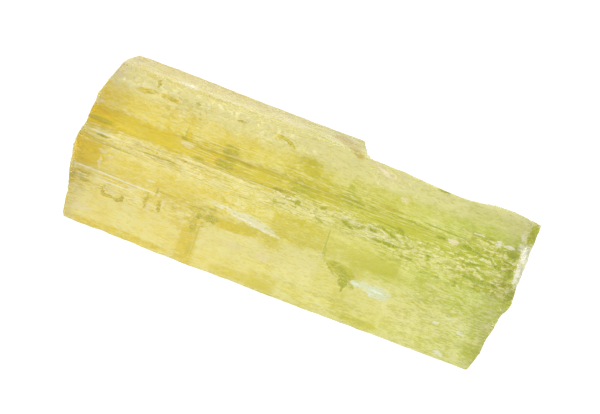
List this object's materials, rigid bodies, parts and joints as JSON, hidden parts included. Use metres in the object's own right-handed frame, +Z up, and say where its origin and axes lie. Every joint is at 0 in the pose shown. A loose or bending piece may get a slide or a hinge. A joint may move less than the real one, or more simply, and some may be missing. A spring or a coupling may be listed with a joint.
{
  "type": "golden beryl crystal",
  "caption": "Loose prism of golden to yellow-green beryl, broken at both ends, with its back edge split away near the green end, lying on a long face.",
  "frame": {"origin": "the middle of the crystal's box in plan, on the surface that it lies on", "axes": "+X along the prism, from the golden end to the green end; +Y towards the back edge that is split; +Z up, out of the top prism face"},
  "size_m": [0.042, 0.0166, 0.0136],
  "materials": {
    "beryl": "satin",
    "healed_fractures": "matte",
    "iron_stain": "matte"
  },
  "bodies": {
    "root": {"beryl_crystal": "beryl"}
  },
  "joints": []
}
